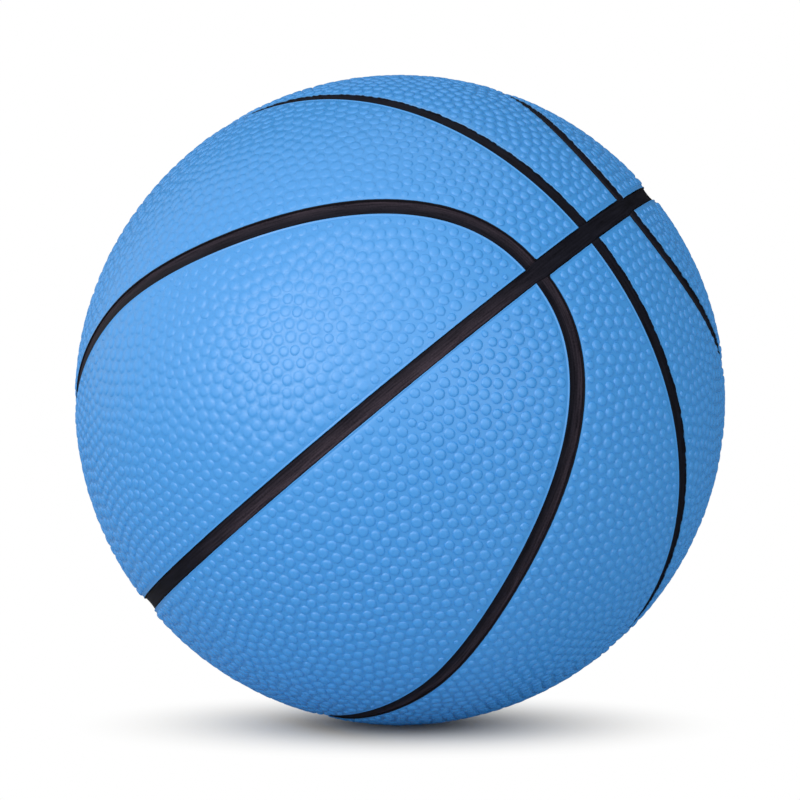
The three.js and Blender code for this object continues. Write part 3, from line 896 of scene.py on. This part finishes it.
# Valve rubbers: black and moulded smooth, the stem soft and satin, the plug harder and shinier, both
# with the mould's fine stipple and a little grey dust
def valveRubber(name, dark, dusty, low, high):
    material, tree = newMaterial(name)
    where = {"Vector": addNode(tree, "ShaderNodeTexCoord").outputs["Object"]}
    stipple = addNode(tree, "ShaderNodeTexNoise", {"Scale": 5000.0, "Detail": 2.0}, where)  # 0.2 mm
    dust = addNode(tree, "ShaderNodeTexNoise", {"Scale": 700.0, "Detail": 4.0}, where)  # 1.4 mm
    colour = addNode(tree, "ShaderNodeValToRGB", {}, {"Fac": dust.outputs["Fac"]},
                     [(0.4, linear(dark)), (0.75, linear(dusty))])
    rough = addNode(tree, "ShaderNodeMapRange",
                    {"From Min": 0.3, "From Max": 0.7, "To Min": low, "To Max": high},
                    {"Value": dust.outputs["Fac"]})
    bump = addNode(tree, "ShaderNodeBump", {"Strength": 0.2, "Distance": 0.00003},
                   {"Height": stipple.outputs["Fac"]})
    shader = addNode(tree, "ShaderNodeBsdfPrincipled", {"Specular IOR Level": 0.45},
                     {"Base Color": colour.outputs["Color"], "Roughness": rough.outputs["Result"],
                      "Normal": bump.outputs["Normal"]})
    return material, shader


finishes = [
    (coverRubber(), coverPieces),
    (seamRubber(), stripPieces),
    (butylRubber(), [bladderPiece]),
    (nylonThread(), [windingPiece]),
    (carcassRubber(), carcassPieces),
    (valveRubber("soft_valve_rubber", "#17171a", "#2c2b2c", 0.45, 0.6), [stemPiece]),
    (valveRubber("hard_plug_rubber", "#1d1d20", "#343334", 0.3, 0.45), [plugPiece]),
]
for (material, shader), pieces in finishes:
    addNode(material.node_tree, "ShaderNodeOutputMaterial", {}, {"Surface": shader.outputs["BSDF"]})
    for piece in pieces:
        piece.data.materials.clear()
        piece.data.materials.append(material)
print("materials set")


# rays that show what they meet: from the camera, by reflection or through glass
def seenRays(tree):
    path = addNode(tree, "ShaderNodeLightPath")
    seen = addNode(tree, "ShaderNodeMath", {"operation": "MAXIMUM"},
                   {0: path.outputs["Is Camera Ray"], 1: path.outputs["Is Glossy Ray"]})
    return path, addNode(tree, "ShaderNodeMath", {"operation": "MAXIMUM"},
                         {0: seen.outputs[0], 1: path.outputs["Is Transmission Ray"]})


# Floor, world, lamps and camera
studio = {
    "floorZ": -0.0651,
    "floorSize": 12,
    "paper": "#f7f7f7",
    "shadedPaper": "#f0e7d7",  # as the camera sees it, evens out the blue that the ball throws on its shadow
    # the floor turns plain white from the shadow out, in an oval that is less deep than wide
    "shadowFrom": 0.0078,
    "shadowTo": 0.0683,
    "shadowDepth": 1.7,
    "shadowShift": 0.005,  # towards the camera
    "whiteFrom": 0.25,  # the same in reflections
    "whiteTo": 0.6,
    "ambient": 0.81,
    "boxDistance": 1.3,
    "softboxes": {  # degrees to the right of the camera and up, m, radiance
        "left": {"turn": -42, "rise": 20, "size": (0.65, 0.65), "glow": 3.40},
        "right": {"turn": 27.5, "rise": 15, "size": (1.08, 0.70), "glow": 0.95},
        "front": {"turn": -17.5, "rise": 15, "size": (1.08, 0.70), "glow": 0.30},
        "high": {"turn": -17.5, "rise": 47.5, "size": (0.55, 0.60), "glow": 1.75},
    },
    "cloth": {"radius": 0.9, "height": 1.6, "sides": 72, "from": 46, "to": 219,  # m, degrees
              "greys": {"dark_cloth": "#505050", "grey_cloth": "#959595"}},
    "distance": 0.7769,
    "elevation": 5.0,
    "lens": 174.02,
}
bpy.ops.mesh.primitive_plane_add(size=studio["floorSize"], location=(0, 0, studio["floorZ"]))
floor = bpy.context.object
floor.name = "floor"
bpy.ops.object.transform_apply(location=True)
material, tree = newMaterial("white_paper")
place = addNode(tree, "ShaderNodeTexCoord")
ground = addNode(tree, "ShaderNodeVectorMath", {"operation": "MULTIPLY", 1: (1, 1, 0)},
                 {0: place.outputs["Object"]})
away = addNode(tree, "ShaderNodeVectorMath", {"operation": "LENGTH"}, {0: ground.outputs["Vector"]})
nearer = addNode(tree, "ShaderNodeVectorMath", {"operation": "ADD", 1: (0, studio["shadowShift"], 0)},
                 {0: place.outputs["Object"]})
oval = addNode(tree, "ShaderNodeVectorMath", {"operation": "MULTIPLY", 1: (1, studio["shadowDepth"], 0)},
               {0: nearer.outputs["Vector"]})
reach = addNode(tree, "ShaderNodeVectorMath", {"operation": "LENGTH"}, {0: oval.outputs["Vector"]})
fade = addNode(tree, "ShaderNodeMapRange",
               {"interpolation_type": "SMOOTHSTEP",
                "From Min": studio["shadowFrom"], "From Max": studio["shadowTo"]},
               {"Value": reach.outputs["Value"]})
path, seen = seenRays(tree)
far = addNode(tree, "ShaderNodeMapRange",
              {"interpolation_type": "SMOOTHSTEP",
               "From Min": studio["whiteFrom"], "From Max": studio["whiteTo"]},
              {"Value": away.outputs["Value"]})
fades = addNode(tree, "ShaderNodeMix", {"data_type": "FLOAT"},
                {0: path.outputs["Is Camera Ray"], 2: far.outputs["Result"], 3: fade.outputs["Result"]})
white = addNode(tree, "ShaderNodeMath", {"operation": "MULTIPLY"}, {0: seen.outputs[0], 1: fades.outputs[0]})
warm = addNode(tree, "ShaderNodeMix",
               {"data_type": "RGBA", 6: linear(studio["paper"]), 7: linear(studio["shadedPaper"])},
               {0: path.outputs["Is Camera Ray"]})
paper = addNode(tree, "ShaderNodeBsdfDiffuse", {}, {"Color": warm.outputs[2]})
glow = addNode(tree, "ShaderNodeEmission", {"Color": (1, 1, 1, 1), "Strength": 1.0})
both = addNode(tree, "ShaderNodeMixShader", {},
               {0: white.outputs[0], 1: paper.outputs[0], 2: glow.outputs[0]})
addNode(tree, "ShaderNodeOutputMaterial", {}, {"Surface": both.outputs[0]})
floor.data.materials.append(material)

world = bpy.data.worlds.new("studio")
bpy.context.scene.world = world
world.use_nodes = True
tree = world.node_tree
tree.nodes.clear()
seen = seenRays(tree)[1]
dim = addNode(tree, "ShaderNodeBackground", {"Color": (1, 1, 1, 1), "Strength": studio["ambient"]})
plain = addNode(tree, "ShaderNodeBackground", {"Color": (1, 1, 1, 1), "Strength": 1.0})
both = addNode(tree, "ShaderNodeMixShader", {}, {0: seen.outputs[0], 1: dim.outputs[0], 2: plain.outputs[0]})
addNode(tree, "ShaderNodeOutputWorld", {}, {"Surface": both.outputs[0]})

for side, box in studio["softboxes"].items():
    turn, rise = radians(box["turn"]), radians(box["rise"])
    way = Vector((sin(turn) * cos(rise), -cos(turn) * cos(rise), sin(rise)))
    bpy.ops.object.light_add(type="AREA", location=way * studio["boxDistance"])
    lamp = bpy.context.object
    lamp.name = side + "_softbox"
    lamp.data.shape = "RECTANGLE"
    lamp.data.size, lamp.data.size_y = box["size"]
    lamp.data.energy = box["glow"] * pi * box["size"][0] * box["size"][1]
    lamp.rotation_euler = way.to_track_quat("Z", "Y").to_euler()

# cloth that shows only in the ball's sheen: a dark wall and floor at the right and the back, and grey on
# the rest of the floor
cloth = studio["cloth"]
bpy.ops.mesh.primitive_cylinder_add(
    vertices=cloth["sides"], radius=cloth["radius"], depth=cloth["height"], end_fill_type="TRIFAN",
    location=(0, 0, studio["floorZ"] + cloth["height"] / 2 + mm))
surround = bpy.context.object
surround.name = "dark_cloth"
bpy.ops.object.transform_apply(location=True)
bpy.ops.object.mode_set(mode="EDIT")
bpy.ops.mesh.select_mode(type="FACE")
bpy.ops.mesh.select_all(action="DESELECT")
bpy.ops.object.mode_set(mode="OBJECT")
for face in surround.data.polygons:
    turn = np.degrees(np.arctan2(face.center.x, -face.center.y)) % 360  # from the camera, round by the right
    dark = cloth["from"] < turn < cloth["to"]
    face.material_index = 0 if dark else 1
    # the top goes, and so does the wall at the front and left
    face.select = face.normal.z > 0.5 or face.normal.z > -0.5 and not dark
bpy.ops.object.mode_set(mode="EDIT")
bpy.ops.mesh.delete(type="FACE")
bpy.ops.mesh.select_all(action="SELECT")
bpy.ops.mesh.flip_normals()
bpy.ops.object.mode_set(mode="OBJECT")
surround.visible_camera = surround.visible_diffuse = surround.visible_shadow = False
for name, grey in cloth["greys"].items():
    material, tree = newMaterial(name)
    felt = addNode(tree, "ShaderNodeBsdfDiffuse", {"Color": linear(grey)})
    addNode(tree, "ShaderNodeOutputMaterial", {}, {"Surface": felt.outputs[0]})
    surround.data.materials.append(material)

tilt = radians(studio["elevation"])
bpy.ops.object.camera_add(location=(0, -studio["distance"] * cos(tilt), studio["distance"] * sin(tilt)),
                          rotation=(pi / 2 - tilt, 0, 0))
camera = bpy.context.object
camera.data.sensor_fit, camera.data.sensor_width, camera.data.lens = "HORIZONTAL", 36, studio["lens"]
bpy.context.scene.camera = camera
bpy.context.scene.view_settings.view_transform = "Standard"
print("studio ready")
